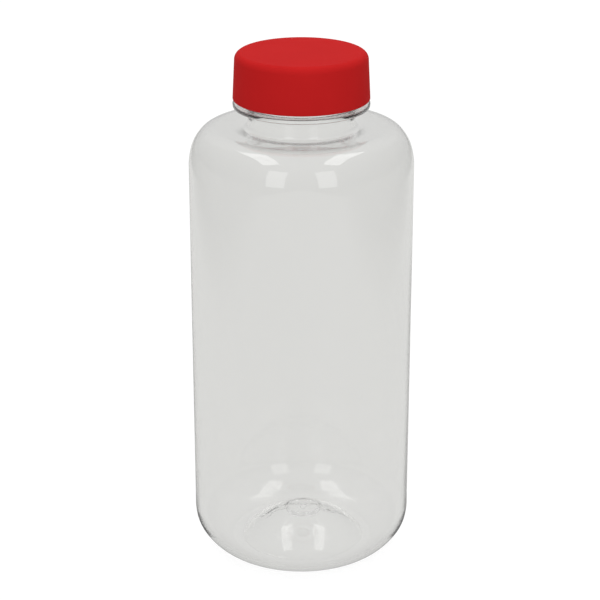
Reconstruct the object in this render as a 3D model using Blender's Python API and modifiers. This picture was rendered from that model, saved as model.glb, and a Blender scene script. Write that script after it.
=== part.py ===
"""Clear wide-mouth PET bottle with a lined screw cap.

The bottle stands on z = 0 with its axis on the world Z axis. Lengths are in metres and angles in
degrees. The cap is screwed on: a right-hand thread, so it unscrews anticlockwise seen from above.
"""

import math

import bmesh
import bpy

MM = 0.001
SEGMENTS = 48

# Body and shoulder: tangent arcs of radius and turn, from the upright wall until the shoulder falls
# a little towards the neck
BODY_RADIUS = 45.0 * MM
SHOULDER_START = 166.5 * MM
SHOULDER_ARCS = (
    (25.5 * MM, 16.0),
    (15.5 * MM, 28.0),
    (7.0 * MM, 22.0),
    (12.0 * MM, 26.0),
)
ARC_STEP = 14.0

# Heel and standing ring
HEEL_START = 17.5 * MM
HEEL_ARCS = ((23.0 * MM, 10.0), (13.0 * MM, 20.0), (22.0 * MM, 24.0), (12.7 * MM, 36.0))
STANDING_INNER_RADIUS = 25.6 * MM

# Pushed-up base: part of a sphere, with a low nub in the middle and the mould's gate under it
DOME_SPHERE_RADIUS = 32.0 * MM
DOME_EDGE_RADIUS = 24.9 * MM
DOME_EDGE_RISE = 0.35 * MM
DOME_FOOT_RADIUS = 9.5 * MM
DOME_STEPS = 7
NUB_FOOT_RADIUS = 7.0 * MM
NUB_FOOT_HEIGHT = 12.2 * MM
NUB_RADIUS = 6.3 * MM
NUB_TOP = 13.8 * MM
NUB_DIMPLE_RADIUS = 1.6 * MM
NUB_DIMPLE_DEPTH = 0.3 * MM
GATE_FLAT_RADIUS = 6.6 * MM
GATE_FLAT_HEIGHT = 11.7 * MM
GATE_RADIUS = 1.6 * MM
GATE_DROP = 0.5 * MM
GATE_TAPER = 0.4 * MM

# Neck and support ring
NECK_RADIUS = 21.35 * MM
NECK_BORE_RADIUS = 20.45 * MM
NECK_FILLET = 1.8 * MM
NECK_FILLET_STEP = 31.0
RING_RADIUS = 27.2 * MM
RING_BOTTOM = 190.4 * MM
RING_TOP = 192.3 * MM
RING_CHAMFER = 0.4 * MM

# Threaded neck finish
FINISH_RADIUS = 23.8 * MM
FINISH_BORE_RADIUS = 21.8 * MM
RIM_HEIGHT = 209.15 * MM
RIM_CHAMFER = 0.5 * MM

# Thread
PITCH = 4.5 * MM
THREAD_TURNS = 1.5
NECK_THREAD_START = 199.7 * MM
NECK_THREAD_CREST = 24.95 * MM
CAP_THREAD_CREST = 24.25 * MM
THREAD_ROOT_WIDTH = 2.4 * MM
THREAD_CREST_WIDTH = 0.9 * MM
THREAD_SEAT_OFFSET = 1.75 * MM
THREAD_ROOT_SINK = 0.4 * MM
THREAD_RUN_OUT = 25.0
THREAD_FACET_SHIFT = 0.5

# Wall: it thickens from THIN_RADIUS inwards to THICK_RADIUS, at the foot of the neck
BODY_WALL = 0.7 * MM
THICK_RADIUS = 22.8 * MM
THIN_RADIUS = 25.0 * MM
BASE_WALL = 1.0 * MM

# Cap
CAP_BOTTOM = 193.8 * MM
CAP_TOP = 212.5 * MM
CAP_BOTTOM_RADIUS = 27.2 * MM
CAP_UPPER_RADIUS = 26.4 * MM
CAP_EDGE_RADIUS = 2.9 * MM
CAP_EDGE_STEP = 18.0
CAP_WALL = 1.2 * MM
CAP_PLATE = 1.6 * MM
CAP_LIP_CHAMFER = 0.4 * MM
BEAD_CREST_RADIUS = 24.6 * MM
BEAD_HEIGHT = 0.8 * MM

# Liner
LINER_THICKNESS = 1.2 * MM
LINER_GAP = 0.25 * MM
LINER_RADIUS = 24.95 * MM
LINER_CHAMFER = 0.15 * MM

# Materials
PET_COLOUR = (0.86, 0.86, 0.85)
PET_ROUGHNESS = 0.05
PET_IOR = 1.575
PET_ALPHA = 0.35
CAP_COLOUR = (0.60, 0.018, 0.020)
CAP_ROUGHNESS = 0.45
FOAM_COLOUR = (0.86, 0.86, 0.84)
FOAM_ROUGHNESS = 0.8

MERGE_DISTANCE = 0.01 * MM
PARTS_NAME = "wide_mouth_bottle"


def clear_scene():
    """Remove whatever the file already holds."""
    for item in list(bpy.data.objects):
        bpy.data.objects.remove(item, do_unlink=True)


def make_collection(name):
    """A new collection under the scene's own."""
    collection = bpy.data.collections.new(name)
    bpy.context.scene.collection.children.link(collection)
    return collection


def make_material(name, colour, roughness, transmission=0.0, ior=1.5, alpha=1.0):
    """A Principled material of one plain colour."""
    material = bpy.data.materials.new(name)
    material.use_nodes = True
    shader = material.node_tree.nodes["Principled BSDF"]
    shader.inputs["Base Color"].default_value = (*colour, 1.0)
    shader.inputs["Metallic"].default_value = 0.0
    shader.inputs["Roughness"].default_value = roughness
    shader.inputs["Transmission Weight"].default_value = transmission
    shader.inputs["IOR"].default_value = ior
    shader.inputs["Alpha"].default_value = alpha
    material.diffuse_color = (*colour, alpha)
    return material


def arc_points(start, heading, radius, turn, step=ARC_STEP):
    """Points along an arc that leaves start at heading and turns left by turn (degrees)."""
    side = 1.0 if turn > 0.0 else -1.0
    first = math.radians(heading)
    centre_x = start[0] - side * radius * math.sin(first)
    centre_z = start[1] + side * radius * math.cos(first)
    count = max(1, math.ceil(abs(turn) / step))
    points = []
    for index in range(1, count + 1):
        angle = first + math.radians(turn) * index / count
        across = side * radius * math.sin(angle)
        down = side * radius * math.cos(angle)
        points.append((centre_x + across, centre_z - down))
    return points


def arc_chain(start, heading, arcs, side):
    """Tangent arcs, one after the other, all turning to the same side."""
    points = [start]
    for radius, turn in arcs:
        points += arc_points(points[-1], heading, radius, side * turn)
        heading += side * turn
    return points


def shoulder_points():
    """The shoulder's outside, from the straight wall up to the flat round the neck."""
    return arc_chain((BODY_RADIUS, SHOULDER_START), 90.0, SHOULDER_ARCS, 1.0)


def neck_fillet_points():
    """The hollow corner between the shoulder's flat and the upright neck."""
    slope = 90.0 + sum(turn for _, turn in SHOULDER_ARCS)
    edge_radius, edge_height = shoulder_points()[-1]
    start_radius = NECK_RADIUS + NECK_FILLET * (1.0 - math.cos(math.radians(slope - 90.0)))
    rise = (edge_radius - start_radius) * math.tan(math.radians(180.0 - slope))
    start = (start_radius, edge_height + rise)
    return [start] + arc_points(start, slope, NECK_FILLET, 90.0 - slope, NECK_FILLET_STEP)


def heel_points():
    """The heel's outside, from the straight wall down to the standing ring."""
    points = arc_chain((BODY_RADIUS, HEEL_START), -90.0, HEEL_ARCS, -1.0)
    return points[:-1] + [(points[-1][0], 0.0)]


def dome_points(wall=0.0):
    """The dome of the pushed-up base, or its other face a wall away, from its edge inwards."""
    centre = DOME_EDGE_RISE - math.sqrt(DOME_SPHERE_RADIUS ** 2 - DOME_EDGE_RADIUS ** 2)
    first = math.asin(DOME_EDGE_RADIUS / DOME_SPHERE_RADIUS)
    last = math.asin(DOME_FOOT_RADIUS / DOME_SPHERE_RADIUS)
    reach = DOME_SPHERE_RADIUS + wall
    points = []
    for index in range(DOME_STEPS + 1):
        angle = first + (last - first) * index / DOME_STEPS
        points.append((reach * math.sin(angle), centre + reach * math.cos(angle)))
    return points


def nub_points():
    """The low nub on the inside of the dome, from its foot to the dimple in its middle."""
    return [
        (NUB_FOOT_RADIUS, NUB_FOOT_HEIGHT),
        (NUB_RADIUS, NUB_TOP),
        (NUB_DIMPLE_RADIUS, NUB_TOP),
        (0.0, NUB_TOP - NUB_DIMPLE_DEPTH),
    ]


def gate_points():
    """The flat under the dome's middle, with the short nipple left by the mould's gate."""
    return [
        (GATE_FLAT_RADIUS, GATE_FLAT_HEIGHT),
        (GATE_RADIUS, GATE_FLAT_HEIGHT),
        (GATE_RADIUS - GATE_TAPER, GATE_FLAT_HEIGHT - GATE_DROP),
        (0.0, GATE_FLAT_HEIGHT - GATE_DROP),
    ]


def inset_points(points, wall):
    """A profile moved to the inside of the wall, square to its own run."""
    moved = []
    for index, (radius, height) in enumerate(points):
        before = points[max(index - 1, 0)]
        after = points[min(index + 1, len(points) - 1)]
        run = math.hypot(after[0] - before[0], after[1] - before[1])
        normal_x = (after[1] - before[1]) / run
        normal_z = -(after[0] - before[0]) / run
        depth = wall(radius, height)
        moved.append((radius + normal_x * depth, height + normal_z * depth))
    return moved


def wall_at(radius, height):
    """Wall thickness: even along the body, thicker in the heel and in the neck."""
    if height < HEEL_START:
        return BODY_WALL + (BASE_WALL - BODY_WALL) * (1.0 - height / HEEL_START)
    share = min(1.0, max(0.0, (THIN_RADIUS - radius) / (THIN_RADIUS - THICK_RADIUS)))
    return BODY_WALL + (NECK_RADIUS - NECK_BORE_RADIUS - BODY_WALL) * share


def bottle_profile():
    """Half section of the bottle: up the inside from the centre of the base, then down the outside."""
    finish = [
        (FINISH_RADIUS - RIM_CHAMFER, RIM_HEIGHT),
        (FINISH_RADIUS, RIM_HEIGHT - RIM_CHAMFER),
        (FINISH_RADIUS, RING_TOP),
        (RING_RADIUS - RING_CHAMFER, RING_TOP),
        (RING_RADIUS, RING_TOP - RING_CHAMFER),
        (RING_RADIUS, RING_BOTTOM + RING_CHAMFER),
        (RING_RADIUS - RING_CHAMFER, RING_BOTTOM),
        (NECK_RADIUS, RING_BOTTOM),
    ]
    skin = neck_fillet_points()[::-1] + shoulder_points()[::-1] + heel_points()
    outside = finish + skin + [(STANDING_INNER_RADIUS, 0.0)] + dome_points() + gate_points()
    bore = [
        (NECK_BORE_RADIUS, RING_BOTTOM),
        (FINISH_BORE_RADIUS, RING_TOP + RIM_CHAMFER),
        (FINISH_BORE_RADIUS, RIM_HEIGHT - RIM_CHAMFER),
        (FINISH_BORE_RADIUS + RIM_CHAMFER, RIM_HEIGHT),
    ]
    inside = inset_points(skin, wall_at) + dome_points(BASE_WALL) + nub_points()
    return inside[::-1] + bore + outside


def turned_object(name, profile, collection, material, segments=SEGMENTS):
    """A solid turned from a half section with a Screw modifier."""
    mesh = bpy.data.meshes.new(name)
    count = len(profile)
    edges = [(index, index + 1) for index in range(count - 1)]
    mesh.from_pydata([(radius, 0.0, height) for radius, height in profile], edges, [])
    item = bpy.data.objects.new(name, mesh)
    collection.objects.link(item)
    item.data.materials.append(material)
    screw = item.modifiers.new("turn", "SCREW")
    screw.axis = "Z"
    screw.steps = segments
    screw.render_steps = segments
    screw.use_merge_vertices = True
    screw.merge_threshold = MERGE_DISTANCE
    screw.use_smooth_shade = True
    return item


def thread_section(root, crest, width_share):
    """One four-sided section of a thread rib as (radius, height from its centre line)."""
    top = root + (crest - root) * width_share
    half_root = THREAD_ROOT_WIDTH / 2.0
    half_crest = half_root + (THREAD_CREST_WIDTH / 2.0 - half_root) * width_share
    sink = math.copysign(THREAD_ROOT_SINK, root - crest)
    return [(root + sink, -half_root), (top, -half_crest), (top, half_crest), (root + sink, half_root)]


def thread_cutter(name, root, crest, start_height, collection):
    """A helical rib with tapered ends, made to be joined to a neck or a cap wall."""
    mesh = bpy.data.meshes.new(name)
    builder = bmesh.new()
    count = round(THREAD_TURNS * SEGMENTS)
    run_out_steps = THREAD_RUN_OUT * SEGMENTS / 360.0
    rings = []
    for index in range(count + 1):
        share = min(1.0, index / run_out_steps, (count - index) / run_out_steps)
        angle = math.tau * (index + THREAD_FACET_SHIFT) / SEGMENTS
        height = start_height + PITCH * index / SEGMENTS
        section = thread_section(root, crest, share)
        ring = []
        for radius, rise in section:
            place = (radius * math.cos(angle), radius * math.sin(angle), height + rise)
            ring.append(builder.verts.new(place))
        rings.append(ring)
    for ring, following in zip(rings, rings[1:]):
        for side in range(len(ring)):
            corner = (side + 1) % len(ring)
            builder.faces.new((ring[side], ring[corner], following[corner], following[side]))
    builder.faces.new(rings[0])
    builder.faces.new(rings[-1][::-1])
    bmesh.ops.recalc_face_normals(builder, faces=builder.faces)
    builder.to_mesh(mesh)
    builder.free()
    item = bpy.data.objects.new(name, mesh)
    collection.objects.link(item)
    item.hide_render = True
    item.display_type = "WIRE"
    return item


def join_thread(item, rib):
    """Join a thread rib to the wall that carries it."""
    union = item.modifiers.new("thread", "BOOLEAN")
    union.operation = "UNION"
    union.solver = "EXACT"
    union.object = rib


def build_bottle(parts, cutters):
    """The bottle with its threaded finish."""
    material = make_material("clear_pet", PET_COLOUR, PET_ROUGHNESS, 1.0, PET_IOR, PET_ALPHA)
    item = turned_object("bottle", bottle_profile(), parts, material)
    rib = thread_cutter("neck_thread", FINISH_RADIUS, NECK_THREAD_CREST, NECK_THREAD_START, cutters)
    join_thread(item, rib)
    return item


def cap_outer_radius(height):
    """Outside of the tapered skirt at a height."""
    taper_height = CAP_TOP - CAP_EDGE_RADIUS - CAP_BOTTOM
    share = (height - CAP_BOTTOM) / taper_height
    return CAP_BOTTOM_RADIUS + (CAP_UPPER_RADIUS - CAP_BOTTOM_RADIUS) * share


def cap_inner_radius(height):
    """Inside of the tapered skirt at a height."""
    return cap_outer_radius(height) - CAP_WALL


def cap_profile():
    """Half section of the cap in its own frame, whose origin is the centre of its bottom edge."""
    edge_start = (CAP_UPPER_RADIUS - CAP_EDGE_RADIUS, CAP_TOP)
    ceiling = CAP_TOP - CAP_PLATE
    bead_middle = ceiling - LINER_GAP * 2.0 - LINER_THICKNESS - BEAD_HEIGHT / 2.0
    outside = [(0.0, CAP_TOP), edge_start]
    outside += arc_points(edge_start, 0.0, CAP_EDGE_RADIUS, -90.0, CAP_EDGE_STEP)
    outside += [
        (CAP_BOTTOM_RADIUS, CAP_BOTTOM + CAP_LIP_CHAMFER),
        (CAP_BOTTOM_RADIUS - CAP_LIP_CHAMFER, CAP_BOTTOM),
    ]
    inside = [
        (cap_inner_radius(CAP_BOTTOM), CAP_BOTTOM),
        (cap_inner_radius(bead_middle - BEAD_HEIGHT), bead_middle - BEAD_HEIGHT),
        (BEAD_CREST_RADIUS, bead_middle),
        (cap_inner_radius(bead_middle + BEAD_HEIGHT / 2.0), bead_middle + BEAD_HEIGHT / 2.0),
        (cap_inner_radius(ceiling), ceiling),
        (0.0, ceiling),
    ]
    return [(radius, height - CAP_BOTTOM) for radius, height in outside + inside]


def build_cap(parts, cutters):
    """The screw cap, with its thread seated just under the neck's thread."""
    material = make_material("red_pp", CAP_COLOUR, CAP_ROUGHNESS)
    item = turned_object("screw_cap", cap_profile(), parts, material)
    item.location = (0.0, 0.0, CAP_BOTTOM)
    start = NECK_THREAD_START - THREAD_SEAT_OFFSET
    wall = cap_inner_radius(start + PITCH * THREAD_TURNS)
    rib = thread_cutter("cap_thread", wall, CAP_THREAD_CREST, start, cutters)
    join_thread(item, rib)
    return item


def liner_profile():
    """Half section of the liner disc."""
    top = CAP_TOP - CAP_PLATE - LINER_GAP
    bottom = top - LINER_THICKNESS
    return [
        (0.0, top),
        (LINER_RADIUS - LINER_CHAMFER, top),
        (LINER_RADIUS, top - LINER_CHAMFER),
        (LINER_RADIUS, bottom + LINER_CHAMFER),
        (LINER_RADIUS - LINER_CHAMFER, bottom),
        (0.0, bottom),
    ]


def build_liner(parts):
    """The foam sealing disc between the cap and the rim."""
    material = make_material("white_foam", FOAM_COLOUR, FOAM_ROUGHNESS)
    return turned_object("cap_liner", liner_profile(), parts, material)


def main():
    """Build the whole object."""
    clear_scene()
    parts = make_collection(PARTS_NAME)
    cutters = make_collection(PARTS_NAME + "_cutters")
    build_bottle(parts, cutters)
    build_liner(parts)
    build_cap(parts, cutters)


main()
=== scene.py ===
import math

import bmesh
import bpy
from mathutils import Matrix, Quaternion, Vector


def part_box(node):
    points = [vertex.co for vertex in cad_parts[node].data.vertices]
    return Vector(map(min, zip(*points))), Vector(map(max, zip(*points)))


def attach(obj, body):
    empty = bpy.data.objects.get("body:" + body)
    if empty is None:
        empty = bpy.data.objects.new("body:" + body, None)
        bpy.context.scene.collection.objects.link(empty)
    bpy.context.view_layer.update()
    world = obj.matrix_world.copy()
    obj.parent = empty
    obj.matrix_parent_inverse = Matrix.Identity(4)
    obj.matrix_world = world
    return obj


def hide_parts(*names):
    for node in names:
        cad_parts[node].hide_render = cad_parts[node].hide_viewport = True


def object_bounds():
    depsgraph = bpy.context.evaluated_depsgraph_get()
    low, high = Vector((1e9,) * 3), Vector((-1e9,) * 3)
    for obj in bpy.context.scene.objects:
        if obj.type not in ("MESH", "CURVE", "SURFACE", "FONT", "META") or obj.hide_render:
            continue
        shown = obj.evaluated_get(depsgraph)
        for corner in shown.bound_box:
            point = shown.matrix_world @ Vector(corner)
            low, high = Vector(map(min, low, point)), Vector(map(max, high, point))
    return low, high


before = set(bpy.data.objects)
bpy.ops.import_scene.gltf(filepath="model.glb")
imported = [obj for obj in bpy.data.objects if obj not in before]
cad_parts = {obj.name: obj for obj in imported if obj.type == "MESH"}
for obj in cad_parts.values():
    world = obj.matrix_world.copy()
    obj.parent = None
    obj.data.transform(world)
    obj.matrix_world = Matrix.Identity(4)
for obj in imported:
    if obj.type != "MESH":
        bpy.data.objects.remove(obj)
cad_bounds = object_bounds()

MM = 0.001

# The frame's own sizes
bottle_low, bottle_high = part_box("bottle")
cap_low, cap_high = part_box("screw_cap")
liner_low, liner_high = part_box("cap_liner")

BODY_RADIUS = bottle_high.x
RIM_HEIGHT = bottle_high.z
CAP_BOTTOM = cap_low.z
CAP_TOP = cap_high.z
CAP_BOTTOM_RADIUS = cap_high.x
LINER_RADIUS = liner_high.x
LINER_BOTTOM = liner_low.z
LINER_TOP = liner_high.z

# Fineness of the turned surfaces
SEGMENTS = 240
ARC_STEP = 3.0
ROUNDING_STEP = 20.0
WALL_STEP = 3.0 * MM
THREAD_STEP = 0.22 * MM
AXIS_REACH = 0.01 * MM
SAME_FACE = 0.05 * MM
SHARP_ANGLE = 50.0

# Shoulder and heel: tangent arcs of (radius, turn in degrees)
SHOULDER_START = 166.5 * MM
SHOULDER_ARCS = ((25.5 * MM, 16.0), (15.5 * MM, 28.0), (7.0 * MM, 22.0), (12.0 * MM, 26.0))
HEEL_START = 17.5 * MM
HEEL_ARCS = ((23.0 * MM, 10.0), (13.0 * MM, 20.0), (22.0 * MM, 24.0), (12.7 * MM, 36.0))
STANDING_INNER_RADIUS = 25.6 * MM
STANDING_SINK = 0.3 * MM
STANDING_EDGE = 0.7 * MM

# Pushed-up base
DOME_SPHERE_RADIUS = 32.0 * MM
DOME_EDGE_RADIUS = 24.9 * MM
DOME_EDGE_RISE = 0.35 * MM
DOME_FOOT_RADIUS = 9.5 * MM
DOME_STEPS = 40
DOME_SHIFT = 0.8 * MM
DOME_SHIFT_RADIUS = 31.6 * MM
DOME_SHIFT_RUN = 8.0 * MM
DOME_CLEARANCE = 1.0 * MM
NUB_FOOT_RADIUS = 7.2 * MM
NUB_FOOT_HEIGHT = 12.2 * MM
NUB_RADIUS = 6.7 * MM
NUB_TOP = 13.8 * MM
NUB_EDGE = 0.8 * MM
NUB_FOOT_EDGE = 0.3 * MM
NUB_DIMPLE_RADIUS = 3.0 * MM
NUB_DIMPLE_DEPTH = 0.5 * MM
NUB_DIMPLE_EDGE = 1.6 * MM
NUB_DIMPLE_FLAT = 1.2 * MM
NUB_DIMPLE_FLAT_EDGE = 0.4 * MM
GATE_FLAT_RADIUS = 6.6 * MM
GATE_FLAT_HEIGHT = 11.7 * MM
GATE_RADIUS = 1.6 * MM
GATE_DROP = 0.5 * MM
GATE_TAPER = 0.3 * MM
GATE_FLAT_EDGE = 2.0 * MM
GATE_ROOT_EDGE = 0.3 * MM
GATE_TIP_EDGE = 0.2 * MM

# Flow wrinkles inside the dome: direction, inner and outer end, and height
WRINKLES = (
    (172.0, 10.0 * MM, 20.0 * MM, 0.45 * MM),
    (184.0, 11.0 * MM, 17.0 * MM, 0.30 * MM),
    (6.0, 9.0 * MM, 16.0 * MM, 0.40 * MM),
)
WRINKLE_WIDTH = 0.7 * MM
WRINKLE_WAVE = 1.3 * MM
WRINKLE_PITCH = 0.9
WRINKLE_RUN_OUT = 2.0 * MM

# Neck and support ring
NECK_RADIUS = 21.35 * MM
NECK_BORE_RADIUS = 20.45 * MM
NECK_FILLET = 1.8 * MM
RING_RADIUS = 27.2 * MM
RING_BOTTOM = 190.4 * MM
RING_TOP = 192.3 * MM
RING_TOP_EDGE = 0.3 * MM
RING_BOTTOM_EDGE = 0.9 * MM
FINISH_RADIUS = 23.8 * MM
FINISH_BORE_RADIUS = 21.8 * MM
RIM_EDGE = 0.5 * MM
RING_ROOT_EDGE = 0.4 * MM
RING_UNDER_EDGE = 0.5 * MM
PATH_RUN = 2.0 * MM
MOUTH_STEP = 20.0
FINE_STEP = 10.0
CAP_STEP = 6.0

# Thread
PITCH = 4.5 * MM
THREAD_TURNS = 1.5
NECK_THREAD_START = 199.7 * MM
NECK_THREAD_CREST = 24.95 * MM
CAP_THREAD_CREST = 24.25 * MM
THREAD_ROOT_WIDTH = 2.4 * MM
THREAD_CREST_WIDTH = 0.9 * MM
THREAD_SEAT_OFFSET = 1.75 * MM
THREAD_RUN_OUT = 25.0
THREAD_FLOOR = 0.5 * MM

# Walls
BODY_WALL = 0.7 * MM
THICK_RADIUS = 22.8 * MM
THIN_RADIUS = 25.0 * MM
BASE_WALL = 1.0 * MM

# Cap
CAP_UPPER_RADIUS = 26.4 * MM
CAP_EDGE_RADIUS = 2.9 * MM
CAP_WALL = 1.2 * MM
CAP_PLATE = 1.6 * MM
CAP_LIP_EDGE = 0.4 * MM
CAP_THREAD_FLOOR = 1.0 * MM
CAP_LIP_RUN = 2.0 * MM
CEILING_EDGE = 0.3 * MM
BEAD_CREST_RADIUS = 24.6 * MM
BEAD_HEIGHT = 0.8 * MM
BEAD_EDGE = 0.2 * MM

# Liner, and the shallow mark that the rim leaves in it
LINER_EDGE = 0.3 * MM
LINER_SEGMENTS = 120
MARK_DEPTH = 0.12 * MM
MARK_EDGE = 0.2 * MM
MARK_SLOPE = 0.3 * MM
MARK_SPREAD = 0.1 * MM

# Floor, in metres and radiance: what the bottle mirrors is dimmer far to the sides and under the
# heel. These are painted shade and a painted contact shadow on the floor, seen only in reflections
FLOOR_HALF = 4.0
FLOOR_GLOW = 0.93
FLOOR_GREY = (0.73, 0.73, 0.718)
FLOOR_SIDE_SHADE = 0.4
FLOOR_SIDE_FADE = (0.34, 0.48)
CONTACT_SHADE = 0.4
CONTACT_INNER = (0.030, 0.036)
CONTACT_OUTER = (0.050, 0.070)
FLOOR_PALE = (0.14, 0.14, 0.14)
FLOOR_PALEST = (0.16, 0.16, 0.16)

# Sky radiance: what is mirrored is dimmer from the sides
SKY_TOP = 0.85
SKY_HORIZON = 0.55
SKY_SIDES = 0.4
SKY_RISE = 0.9
SKY_SIDE_FADE = (0.5, 0.95)

# Softboxes, in metres and degrees from the shoulder
FRONT_AZIMUTH = 26.0
FRONT_ELEVATION = 19.0
FRONT_REACH = 1.4
FRONT_SIZE = (0.46, 0.92)
FRONT_RADIANCE = 0.85
OVERHEAD_PLACE = (0.47, -0.05, 1.0)
OVERHEAD_REACH = 1.1
OVERHEAD_SIZE = (1.15, 0.34)
OVERHEAD_ROLL = 12.0
OVERHEAD_RADIANCE = 1.5

# Camera: lengths in body radii
CAMERA_LENS = 115.2
CAMERA_PITCH = 0.3728
CAMERA_DISTANCE = 16.311
CAMERA_HEIGHT = 8.7844
CAMERA_SIDE = -0.0125
SENSOR_WIDTH = 36.0
LIGHT_BOUNCES = 32


def arc_points(start, heading, radius, turn, step=ARC_STEP):
    """Points along an arc that leaves start at heading and turns left by turn (degrees)."""
    side = 1.0 if turn > 0.0 else -1.0
    first = math.radians(heading)
    centre_x = start[0] - side * radius * math.sin(first)
    centre_z = start[1] + side * radius * math.cos(first)
    count = max(1, math.ceil(abs(turn) / step))
    points = []
    for index in range(1, count + 1):
        angle = first + math.radians(turn) * index / count
        across = side * radius * math.sin(angle)
        down = side * radius * math.cos(angle)
        points.append((centre_x + across, centre_z - down))
    return points


def arc_chain(start, heading, arcs, side):
    """Tangent arcs, one after the other, all turning to the same side."""
    points = [start]
    for radius, turn in arcs:
        points += arc_points(points[-1], heading, radius, side * turn)
        heading += side * turn
    return points


def rounded_path(corners, step=ROUNDING_STEP):
    """A path through corners given as (radius, height, rounding)."""
    points = []
    for index, (x, z, rounding) in enumerate(corners):
        if rounding == 0.0 or index in (0, len(corners) - 1):
            points.append((x, z))
            continue
        here = Vector((x, z))
        back = (Vector(corners[index - 1][:2]) - here).normalized()
        ahead = (Vector(corners[index + 1][:2]) - here).normalized()
        turn = math.pi - back.angle(ahead)
        reach = rounding * math.tan(turn / 2.0)
        first = here + back * reach
        heading = math.degrees(math.atan2(-back.y, -back.x))
        left = -back.x * ahead.y + back.y * ahead.x > 0.0
        signed = math.degrees(turn) if left else -math.degrees(turn)
        points.append((first.x, first.y))
        points += arc_points((first.x, first.y), heading, rounding, signed, step)
    return points


def refined(points, step):
    """The same path with no run longer than step."""
    made = [points[0]]
    for (x0, z0), (x1, z1) in zip(points, points[1:]):
        count = max(1, math.ceil(math.hypot(x1 - x0, z1 - z0) / step))
        for index in range(1, count + 1):
            share = index / count
            made.append((x0 + (x1 - x0) * share, z0 + (z1 - z0) * share))
    return made


def inset_points(points, wall):
    """A profile moved to the inside of the wall, square to its own run."""
    moved = []
    for index, (radius, height) in enumerate(points):
        before = points[max(index - 1, 0)]
        after = points[min(index + 1, len(points) - 1)]
        run = math.hypot(after[0] - before[0], after[1] - before[1])
        normal_x = (after[1] - before[1]) / run
        normal_z = -(after[0] - before[0]) / run
        depth = wall(radius, height)
        moved.append((radius + normal_x * depth, height + normal_z * depth))
    return moved


def shoulder_points():
    """The shoulder's outside, from the straight wall up to the flat round the neck."""
    return arc_chain((BODY_RADIUS, SHOULDER_START), 90.0, SHOULDER_ARCS, 1.0)


def neck_fillet_points():
    """The hollow corner between the shoulder's flat and the upright neck."""
    slope = 90.0 + sum(turn for _, turn in SHOULDER_ARCS)
    edge_radius, edge_height = shoulder_points()[-1]
    start_radius = NECK_RADIUS + NECK_FILLET * (1.0 - math.cos(math.radians(slope - 90.0)))
    rise = (edge_radius - start_radius) * math.tan(math.radians(180.0 - slope))
    start = (start_radius, edge_height + rise)
    return [start] + arc_points(start, slope, NECK_FILLET, 90.0 - slope)


def heel_points():
    """The heel's outside, from the straight wall down to the standing ring."""
    points = arc_chain((BODY_RADIUS, HEEL_START), -90.0, HEEL_ARCS, -1.0)
    return points[:-1] + [(points[-1][0], 0.0)]


def dome_points(wall=0.0):
    """The dome of the pushed-up base, or its other face a wall away, from its edge inwards."""
    centre = DOME_EDGE_RISE - math.sqrt(DOME_SPHERE_RADIUS ** 2 - DOME_EDGE_RADIUS ** 2)
    first = math.asin(DOME_EDGE_RADIUS / DOME_SPHERE_RADIUS)
    last = math.asin(DOME_FOOT_RADIUS / DOME_SPHERE_RADIUS)
    reach = DOME_SPHERE_RADIUS + wall
    points = []
    for index in range(DOME_STEPS + 1):
        angle = first + (last - first) * index / DOME_STEPS
        points.append((reach * math.sin(angle), centre + reach * math.cos(angle)))
    return points


def nub_points():
    """The low nub on the inside of the dome, from its foot to the dimple in its middle."""
    return rounded_path([
        dome_points(BASE_WALL)[-1] + (0.0,),
        (NUB_FOOT_RADIUS, NUB_FOOT_HEIGHT, NUB_FOOT_EDGE),
        (NUB_RADIUS, NUB_TOP, NUB_EDGE),
        (NUB_DIMPLE_RADIUS, NUB_TOP, NUB_DIMPLE_EDGE),
        (NUB_DIMPLE_FLAT, NUB_TOP - NUB_DIMPLE_DEPTH, NUB_DIMPLE_FLAT_EDGE),
        (0.0, NUB_TOP - NUB_DIMPLE_DEPTH, 0.0),
    ], FINE_STEP)[1:]


def gate_points():
    """The flat under the dome's middle, with the short nipple left by the mould's gate."""
    return rounded_path([
        dome_points()[-1] + (0.0,),
        (GATE_FLAT_RADIUS, GATE_FLAT_HEIGHT, GATE_FLAT_EDGE),
        (GATE_RADIUS, GATE_FLAT_HEIGHT, GATE_ROOT_EDGE),
        (GATE_RADIUS - GATE_TAPER, GATE_FLAT_HEIGHT - GATE_DROP, GATE_TIP_EDGE),
        (0.0, GATE_FLAT_HEIGHT - GATE_DROP, 0.0),
    ], FINE_STEP)[1:]


def wall_at(radius, height):
    """Wall thickness: even along the body, thicker in the heel and thickest in the neck."""
    if height < HEEL_START:
        return BODY_WALL + (BASE_WALL - BODY_WALL) * (1.0 - height / HEEL_START)
    share = min(1.0, max(0.0, (THIN_RADIUS - radius) / (THIN_RADIUS - THICK_RADIUS)))
    return BODY_WALL + (NECK_RADIUS - NECK_BORE_RADIUS - BODY_WALL) * share


def smooth_share(value):
    """0 to 1 with soft ends."""
    value = min(1.0, max(0.0, value))
    return value * value * (3.0 - 2.0 * value)


def thread_height(angle, height, start, depth):
    """How far a thread rib stands out of its wall at a place around it."""
    half_root = THREAD_ROOT_WIDTH / 2.0
    half_crest = THREAD_CREST_WIDTH / 2.0
    stands = 0.0
    for lap in range(math.ceil(THREAD_TURNS)):
        turns = angle / math.tau + lap
        if turns > THREAD_TURNS:
            continue
        run_out = min(turns, THREAD_TURNS - turns) * 360.0 / THREAD_RUN_OUT
        away = abs(height - start - PITCH * turns)
        flank = smooth_share((half_root - away) / (half_root - half_crest))
        stands = max(stands, depth * flank * smooth_share(run_out))
    return stands


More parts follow.
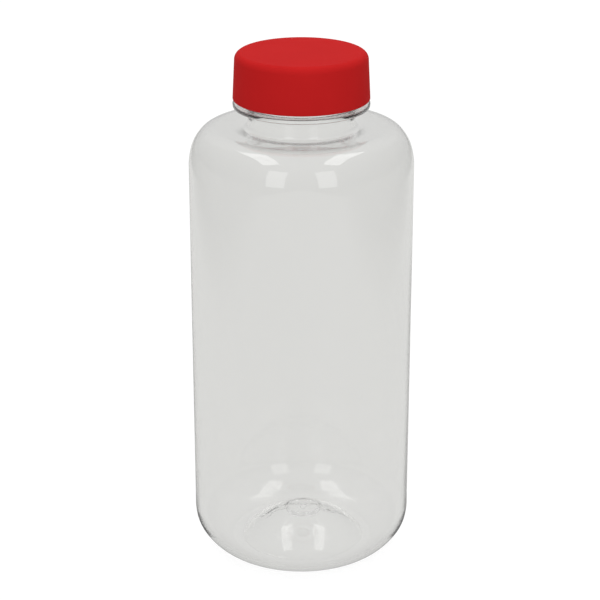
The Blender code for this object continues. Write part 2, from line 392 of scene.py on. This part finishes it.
def turned_piece(name, profile, relief=None, segments=SEGMENTS):
    """A closed turned surface; relief(angle, radius, height) says where each point goes."""
    mesh = bpy.data.meshes.new(name)
    builder = bmesh.new()
    rings = []
    for radius, height in profile:
        if radius < AXIS_REACH:
            place = relief(0.0, 0.0, height) if relief else (0.0, 0.0, height)
            rings.append([builder.verts.new(place)])
            continue
        ring = []
        for step in range(segments):
            angle = math.tau * step / segments
            place = (radius * math.cos(angle), radius * math.sin(angle), height)
            ring.append(builder.verts.new(relief(angle, radius, height) if relief else place))
        rings.append(ring)
    for ring, following in zip(rings, rings[1:]):
        for step in range(segments):
            ahead = (step + 1) % segments
            corners = [ring[step % len(ring)], ring[ahead % len(ring)]]
            corners += [following[ahead % len(following)], following[step % len(following)]]
            builder.faces.new(list(dict.fromkeys(corners))[::-1])
    builder.normal_update()
    builder.to_mesh(mesh)
    builder.free()
    mesh.shade_smooth()
    mesh.set_sharp_from_angle(angle=math.radians(SHARP_ANGLE))
    item = bpy.data.objects.new(name, mesh)
    bpy.context.scene.collection.objects.link(item)
    return item


def bottle_profile():
    """Half section of the bottle: up the inside from the base's centre, then down the outside."""
    shoulder = refined(neck_fillet_points()[:1] + shoulder_points()[::-1], WALL_STEP)
    skin = neck_fillet_points()[:0:-1] + shoulder + refined(heel_points(), WALL_STEP)
    finish = rounded_path([
        (FINISH_BORE_RADIUS, RIM_HEIGHT, 0.0),
        (FINISH_RADIUS, RIM_HEIGHT, RIM_EDGE),
        (FINISH_RADIUS, RING_TOP, RING_ROOT_EDGE),
        (RING_RADIUS, RING_TOP, RING_TOP_EDGE),
        (RING_RADIUS, RING_BOTTOM, RING_BOTTOM_EDGE),
        (NECK_RADIUS, RING_BOTTOM, RING_UNDER_EDGE),
        (NECK_RADIUS, RING_BOTTOM - PATH_RUN, 0.0),
    ])[1:-1]
    base = rounded_path([
        (STANDING_INNER_RADIUS + PATH_RUN, 0.0, 0.0),
        (STANDING_INNER_RADIUS - STANDING_SINK, 0.0, STANDING_EDGE),
        dome_points()[1] + (0.0,),
    ], FINE_STEP)[1:-1]
    outside = refined(finish, THREAD_STEP) + skin + base + dome_points()[1:] + gate_points()
    bore = refined([
        (NECK_BORE_RADIUS, RING_BOTTOM),
        (FINISH_BORE_RADIUS, RING_TOP + RIM_EDGE),
        (FINISH_BORE_RADIUS, RIM_HEIGHT - RIM_EDGE),
    ], WALL_STEP)
    mouth = arc_points(bore[-1], 90.0, RIM_EDGE, -90.0, MOUTH_STEP)
    inside = inset_points(skin, wall_at) + dome_points(BASE_WALL) + nub_points()
    return inside[::-1] + bore + mouth + outside


def wrinkle_height(angle, radius):
    """How far the flow wrinkles stand out of the dome's inner face."""
    height = 0.0
    for direction, start, end, depth in WRINKLES:
        away = math.remainder(angle - math.radians(direction), math.tau) * radius
        away += WRINKLE_WAVE * math.sin(radius / WRINKLE_WAVE * WRINKLE_PITCH)
        rising = smooth_share((radius - start) / WRINKLE_RUN_OUT)
        falling = smooth_share((end - radius) / WRINKLE_RUN_OUT)
        height += depth * rising * falling * math.exp(-((away / WRINKLE_WIDTH) ** 2))
    return height


def bottle_relief(angle, radius, height):
    """Places a point of the bottle: its thread, and a wrinkled base pushed up a little off centre."""
    grown = radius
    if radius > FINISH_RADIUS - SAME_FACE and height > RING_TOP + THREAD_FLOOR:
        grown += thread_height(angle, height, NECK_THREAD_START, NECK_THREAD_CREST - FINISH_RADIUS)
    x = grown * math.cos(angle)
    y = grown * math.sin(angle)
    if height > NUB_TOP + DOME_CLEARANCE:
        return (x, y, height)
    shift = DOME_SHIFT * smooth_share((DOME_SHIFT_RADIUS - radius) / DOME_SHIFT_RUN)
    centre = DOME_EDGE_RISE - math.sqrt(DOME_SPHERE_RADIUS ** 2 - DOME_EDGE_RADIUS ** 2)
    if math.hypot(radius, height - centre) > DOME_SPHERE_RADIUS + BASE_WALL / 2.0:
        height += wrinkle_height(angle, radius)
    return (x + shift, y, height)


def add_bottle():
    """The fine PET bottle, which stands for the CAD's bottle."""
    item = turned_piece("clear_bottle", bottle_profile(), bottle_relief)
    item.data.materials.append(pet_material())
    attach(item, "bottle")
    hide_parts("bottle")
    return item


def cap_outer_radius(height):
    """Outside of the tapered skirt at a height."""
    share = (height - CAP_BOTTOM) / (CAP_TOP - CAP_EDGE_RADIUS - CAP_BOTTOM)
    return CAP_BOTTOM_RADIUS + (CAP_UPPER_RADIUS - CAP_BOTTOM_RADIUS) * share


def cap_inner_radius(height):
    """Inside of the tapered skirt at a height."""
    return cap_outer_radius(height) - CAP_WALL


def cap_profile():
    """Half section of the cap, from the middle of its top down the outside and up the inside."""
    ceiling = CAP_TOP - CAP_PLATE
    lip_end = CAP_BOTTOM + CAP_LIP_RUN
    bead_middle = LINER_BOTTOM - (ceiling - LINER_TOP) - BEAD_HEIGHT / 2.0
    bead_top = bead_middle + BEAD_HEIGHT / 2.0
    outside = rounded_path([
        (0.0, CAP_TOP, 0.0),
        (cap_outer_radius(CAP_TOP), CAP_TOP, CAP_EDGE_RADIUS),
        (CAP_BOTTOM_RADIUS, CAP_BOTTOM, CAP_LIP_EDGE),
        (cap_inner_radius(CAP_BOTTOM), CAP_BOTTOM, CAP_LIP_EDGE),
        (cap_inner_radius(lip_end), lip_end, 0.0),
    ], CAP_STEP)
    inside = rounded_path([
        (cap_inner_radius(lip_end), lip_end, 0.0),
        (cap_inner_radius(bead_middle - BEAD_HEIGHT), bead_middle - BEAD_HEIGHT, BEAD_EDGE),
        (BEAD_CREST_RADIUS, bead_middle, BEAD_EDGE),
        (cap_inner_radius(bead_top), bead_top, BEAD_EDGE / 2.0),
        (cap_inner_radius(ceiling), ceiling, CEILING_EDGE),
        (0.0, ceiling, 0.0),
    ])
    return refined(outside, WALL_STEP) + refined(inside, THREAD_STEP * 2.0)[1:]


def cap_relief(angle, radius, height):
    """Places a point of the cap: its inner wall carries the thread."""
    grown = radius
    wall = cap_inner_radius(height)
    if abs(radius - wall) < SAME_FACE and height > CAP_BOTTOM + CAP_THREAD_FLOOR:
        start = NECK_THREAD_START - THREAD_SEAT_OFFSET
        grown -= thread_height(angle, height, start, wall - CAP_THREAD_CREST)
    return (grown * math.cos(angle), grown * math.sin(angle), height)


def add_cap():
    """The fine red cap, which stands for the CAD's cap."""
    item = turned_piece("red_cap", cap_profile(), cap_relief)
    item.data.materials.append(cap_material())
    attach(item, "cap")
    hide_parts("screw_cap")
    item.visible_glossy = False
    return item


def add_liner():
    """The foam disc, with the rim's shallow mark pressed into its underside."""
    mark_top = LINER_BOTTOM + MARK_DEPTH
    outer = FINISH_RADIUS - MARK_SPREAD
    inner = FINISH_BORE_RADIUS + MARK_SPREAD
    profile = rounded_path([
        (0.0, LINER_TOP, 0.0),
        (LINER_RADIUS, LINER_TOP, LINER_EDGE),
        (LINER_RADIUS, LINER_BOTTOM, LINER_EDGE),
        (outer + MARK_SLOPE, LINER_BOTTOM, MARK_EDGE),
        (outer, mark_top, MARK_EDGE),
        (inner, mark_top, MARK_EDGE),
        (inner - MARK_SLOPE, LINER_BOTTOM, MARK_EDGE),
        (0.0, LINER_BOTTOM, 0.0),
    ])
    item = turned_piece("foam_liner", refined(profile, WALL_STEP), segments=LINER_SEGMENTS)
    item.data.materials.append(foam_material())
    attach(item, "liner")
    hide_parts("cap_liner")
    item.visible_glossy = False
    return item


class Nodes:
    """Short hand for a material's node tree."""

    def __init__(self, name):
        self.material = bpy.data.materials.new(name)
        self.material.use_nodes = True
        self.tree = self.material.node_tree
        self.shader = self.tree.nodes["Principled BSDF"]
        self.place = self.add("ShaderNodeTexCoord").outputs["Object"]

    def add(self, kind, **settings):
        """A node of a kind, with its settings."""
        node = self.tree.nodes.new(kind)
        for key, value in settings.items():
            setattr(node, key, value)
        return node

    def link(self, source, target):
        """A link from an output to an input."""
        self.tree.links.new(source, target)

    def product(self, *factors):
        """The product of two or more values."""
        result = factors[0]
        for factor in factors[1:]:
            times = self.add("ShaderNodeMath", operation="MULTIPLY")
            self.link(result, times.inputs[0])
            self.link(factor, times.inputs[1])
            result = times.outputs["Value"]
        return result

    def scaled_place(self, scale):
        """Object coordinates, scaled."""
        mapping = self.add("ShaderNodeMapping")
        mapping.inputs["Scale"].default_value = scale
        self.link(self.place, mapping.inputs["Vector"])
        return mapping.outputs["Vector"]

    def noise(self, scale, detail=3.0, roughness=0.5):
        """A noise value over the piece; scale is in cycles a metre on each axis."""
        texture = self.add("ShaderNodeTexNoise")
        texture.inputs["Scale"].default_value = 1.0
        texture.inputs["Detail"].default_value = detail
        texture.inputs["Roughness"].default_value = roughness
        self.link(self.scaled_place(scale), texture.inputs["Vector"])
        return texture.outputs["Fac"]

    def ranged(self, value, low, high, source=(0.35, 0.65)):
        """A value stretched from one range to another."""
        node = self.add("ShaderNodeMapRange")
        node.inputs["From Min"].default_value = source[0]
        node.inputs["From Max"].default_value = source[1]
        node.inputs["To Min"].default_value = low
        node.inputs["To Max"].default_value = high
        self.link(value, node.inputs["Value"])
        return node.outputs["Result"]

    def colours(self, value, first, second, source=(0.35, 0.65)):
        """A colour between two, led by a value."""
        mix = self.add("ShaderNodeMix", data_type="RGBA")
        mix.inputs["A"].default_value = (*first, 1.0)
        mix.inputs["B"].default_value = (*second, 1.0)
        self.link(self.ranged(value, 0.0, 1.0, source), mix.inputs["Factor"])
        return mix.outputs["Result"]

    def bump(self, height, depth, strength, under=None):
        """A bump of a depth in metres, laid over another."""
        node = self.add("ShaderNodeBump")
        node.inputs["Distance"].default_value = depth
        node.inputs["Strength"].default_value = strength
        self.link(height, node.inputs["Height"])
        if under is not None:
            self.link(under, node.inputs["Normal"])
        return node.outputs["Normal"]


def pet_material():
    """Clear PET: a faint grey tint, slow waves from blowing, and fine scuffs."""
    made = Nodes("clear_pet")
    shader = made.shader
    drift = made.noise((30.0, 30.0, 9.0), 2.0)
    tint = made.colours(drift, (0.965, 0.965, 0.96), (0.975, 0.975, 0.97))
    made.link(tint, shader.inputs["Base Color"])
    scuffs = made.noise((900.0, 900.0, 260.0), 4.0, 0.65)
    made.link(made.ranged(scuffs, 0.012, 0.05), shader.inputs["Roughness"])
    waves = made.bump(made.noise((55.0, 55.0, 14.0), 1.5), 0.00006, 0.6)
    made.link(made.bump(scuffs, 0.000004, 0.4, waves), shader.inputs["Normal"])
    shader.inputs["Transmission Weight"].default_value = 1.0
    shader.inputs["IOR"].default_value = 1.575
    return made.material


def cap_material():
    """Red polypropylene with a fine spark-eroded grain."""
    made = Nodes("red_pp")
    shader = made.shader
    drift = made.noise((60.0, 60.0, 60.0), 3.0)
    red = made.colours(drift, (0.61, 0.0165, 0.017), (0.63, 0.0175, 0.018))
    made.link(red, shader.inputs["Base Color"])
    grain = made.noise((5200.0, 5200.0, 5200.0), 2.0, 0.6)
    made.link(made.ranged(grain, 0.58, 0.68), shader.inputs["Roughness"])
    made.link(made.bump(grain, 0.00002, 0.35), shader.inputs["Normal"])
    shader.inputs["Specular IOR Level"].default_value = 0.02
    return made.material


def foam_material():
    """White closed-cell foam."""
    made = Nodes("white_foam")
    shader = made.shader
    cells = made.add("ShaderNodeTexVoronoi")
    cells.inputs["Scale"].default_value = 1.0
    made.link(made.scaled_place((2600.0, 2600.0, 2600.0)), cells.inputs["Vector"])
    walls = cells.outputs["Distance"]
    white = made.colours(walls, (0.80, 0.80, 0.78), (0.88, 0.88, 0.86), (0.1, 0.7))
    made.link(white, shader.inputs["Base Color"])
    made.link(made.bump(walls, 0.00008, 0.5), shader.inputs["Normal"])
    shader.inputs["Roughness"].default_value = 0.75
    return made.material


def add_floor():
    """A plain pale floor; in reflections it carries painted shade far to the sides and a painted
    contact shadow round the heel.
    """
    made = Nodes("studio_floor")
    haze = made.noise((1.5, 1.5, 1.5), 2.0)
    made.link(made.colours(haze, FLOOR_PALE, FLOOR_PALEST), made.shader.inputs["Base Color"])
    made.shader.inputs["Roughness"].default_value = 0.8
    made.shader.inputs["Specular IOR Level"].default_value = 0.0
    made.shader.inputs["Emission Color"].default_value = (1.0, 1.0, 1.0, 1.0)
    made.shader.inputs["Emission Strength"].default_value = FLOOR_GLOW
    grey = made.add("ShaderNodeEmission")
    grey.inputs["Color"].default_value = (*FLOOR_GREY, 1.0)
    split = made.add("ShaderNodeSeparateXYZ")
    made.link(made.place, split.inputs["Vector"])
    side = made.add("ShaderNodeMath", operation="ABSOLUTE")
    made.link(split.outputs["X"], side.inputs[0])
    path = made.add("ShaderNodeLightPath")
    mirrored = path.outputs["Is Reflection Ray"]
    # Painted shade: for reflection rays the floor glows dimmer far to the sides, so the bottle's
    # edges mirror a darker floor
    beside = made.ranged(side.outputs["Value"], 0.0, 1.0, FLOOR_SIDE_FADE)
    sides = made.ranged(made.product(beside, mirrored), 1.0, FLOOR_SIDE_SHADE, (0.0, 1.0))
    # Painted contact shadow: for reflection rays the floor's glow drops to CONTACT_SHADE in a ring
    # round the heel
    away = made.add("ShaderNodeVectorMath", operation="LENGTH")
    made.link(made.place, away.inputs[0])
    near = made.ranged(away.outputs["Value"], 0.0, 1.0, CONTACT_INNER)
    far = made.ranged(away.outputs["Value"], 1.0, 0.0, CONTACT_OUTER)
    contact = made.product(near, far, mirrored)
    painted_contact_shadow = made.ranged(contact, 1.0, CONTACT_SHADE, (0.0, 1.0))
    made.link(made.product(sides, painted_contact_shadow), grey.inputs["Strength"])
    choice = made.add("ShaderNodeMixShader")
    made.link(path.outputs["Is Camera Ray"], choice.inputs["Fac"])
    made.link(grey.outputs["Emission"], choice.inputs[1])
    made.link(made.shader.outputs["BSDF"], choice.inputs[2])
    made.link(choice.outputs["Shader"], made.tree.nodes["Material Output"].inputs["Surface"])
    mesh = bpy.data.meshes.new("studio_floor")
    builder = bmesh.new()
    bmesh.ops.create_grid(builder, x_segments=1, y_segments=1, size=FLOOR_HALF)
    builder.to_mesh(mesh)
    builder.free()
    floor = bpy.data.objects.new("studio_floor", mesh)
    bpy.context.scene.collection.objects.link(floor)
    floor.location.z = cad_bounds[0][2]
    mesh.materials.append(made.material)


def add_sky():
    """Soft light from all round, brighter from above."""
    world = bpy.data.worlds.new("studio_sky")
    world.use_nodes = True
    tree = world.node_tree
    background = tree.nodes["Background"]
    place = tree.nodes.new("ShaderNodeTexCoord")
    split = tree.nodes.new("ShaderNodeSeparateXYZ")
    ramp = tree.nodes.new("ShaderNodeMapRange")
    ramp.inputs["From Min"].default_value = 0.0
    ramp.inputs["From Max"].default_value = SKY_RISE
    ramp.inputs["To Min"].default_value = SKY_HORIZON
    ramp.inputs["To Max"].default_value = SKY_TOP
    tree.links.new(place.outputs["Generated"], split.inputs["Vector"])
    tree.links.new(split.outputs["Z"], ramp.inputs["Value"])
    side = tree.nodes.new("ShaderNodeMath")
    side.operation = "ABSOLUTE"
    dim = tree.nodes.new("ShaderNodeMapRange")
    dim.inputs["From Min"].default_value = SKY_SIDE_FADE[0]
    dim.inputs["From Max"].default_value = SKY_SIDE_FADE[1]
    dim.inputs["To Min"].default_value = 1.0
    dim.inputs["To Max"].default_value = SKY_SIDES
    path = tree.nodes.new("ShaderNodeLightPath")
    mirrored = tree.nodes.new("ShaderNodeMapRange")
    mirrored.inputs["To Min"].default_value = 1.0
    both = tree.nodes.new("ShaderNodeMath")
    both.operation = "MULTIPLY"
    tree.links.new(split.outputs["X"], side.inputs[0])
    tree.links.new(side.outputs["Value"], dim.inputs["Value"])
    tree.links.new(ramp.outputs["Result"], both.inputs[0])
    tree.links.new(path.outputs["Is Reflection Ray"], mirrored.inputs["Value"])
    tree.links.new(dim.outputs["Result"], mirrored.inputs["To Max"])
    tree.links.new(mirrored.outputs["Result"], both.inputs[1])
    tree.links.new(both.outputs["Value"], background.inputs["Strength"])
    background.inputs["Color"].default_value = (1.0, 1.0, 1.0, 1.0)
    bpy.context.scene.world = world


def add_softbox(name, place, target, width, height, radiance, roll=0.0):
    """A rectangular softbox that faces a point, turned by roll about the vertical."""
    light = bpy.data.lights.new(name, "AREA")
    light.shape = "RECTANGLE"
    light.size = width
    light.size_y = height
    light.energy = radiance * math.pi * width * height
    item = bpy.data.objects.new(name, light)
    item.location = place
    facing = (Vector(target) - Vector(place)).to_track_quat("-Z", "Y")
    item.rotation_euler = (Quaternion((0.0, 0.0, 1.0), math.radians(roll)) @ facing).to_euler()
    item.visible_camera = False
    bpy.context.scene.collection.objects.link(item)


def add_lights():
    """Two upright softboxes in front and two long ones overhead, the same on both sides."""
    shoulder = Vector((0.0, 0.0, SHOULDER_START))
    azimuth = math.radians(FRONT_AZIMUTH)
    elevation = math.radians(FRONT_ELEVATION)
    across = math.sin(azimuth) * math.cos(elevation)
    ahead = math.cos(azimuth) * math.cos(elevation)
    for side in (-1.0, 1.0):
        front = shoulder + Vector((side * across, -ahead, math.sin(elevation))) * FRONT_REACH
        add_softbox("front_softbox", front, shoulder, *FRONT_SIZE, FRONT_RADIANCE)
        x, y, z = OVERHEAD_PLACE
        overhead = Vector((x * side, y, z)) * OVERHEAD_REACH + shoulder
        roll = OVERHEAD_ROLL * side
        add_softbox("overhead_softbox", overhead, shoulder, *OVERHEAD_SIZE, OVERHEAD_RADIANCE, roll)


def add_camera():
    """The camera, placed in body radii from the bottle's axis and standing plane."""
    camera = bpy.data.cameras.new("camera")
    camera.lens = CAMERA_LENS
    camera.sensor_width = SENSOR_WIDTH
    camera.clip_start = 0.01
    item = bpy.data.objects.new("camera", camera)
    item.location = Vector((CAMERA_SIDE, -CAMERA_DISTANCE, CAMERA_HEIGHT)) * BODY_RADIUS
    item.rotation_euler = (math.pi / 2.0 - CAMERA_PITCH, 0.0, 0.0)
    bpy.context.scene.collection.objects.link(item)
    bpy.context.scene.camera = item


bpy.context.scene.view_settings.view_transform = "Standard"
bpy.context.scene.cycles.max_bounces = LIGHT_BOUNCES
bpy.context.scene.cycles.glossy_bounces = LIGHT_BOUNCES
bpy.context.scene.cycles.transmission_bounces = LIGHT_BOUNCES
add_camera()
add_floor()
add_sky()
add_lights()
add_bottle()
add_liner()
add_cap()
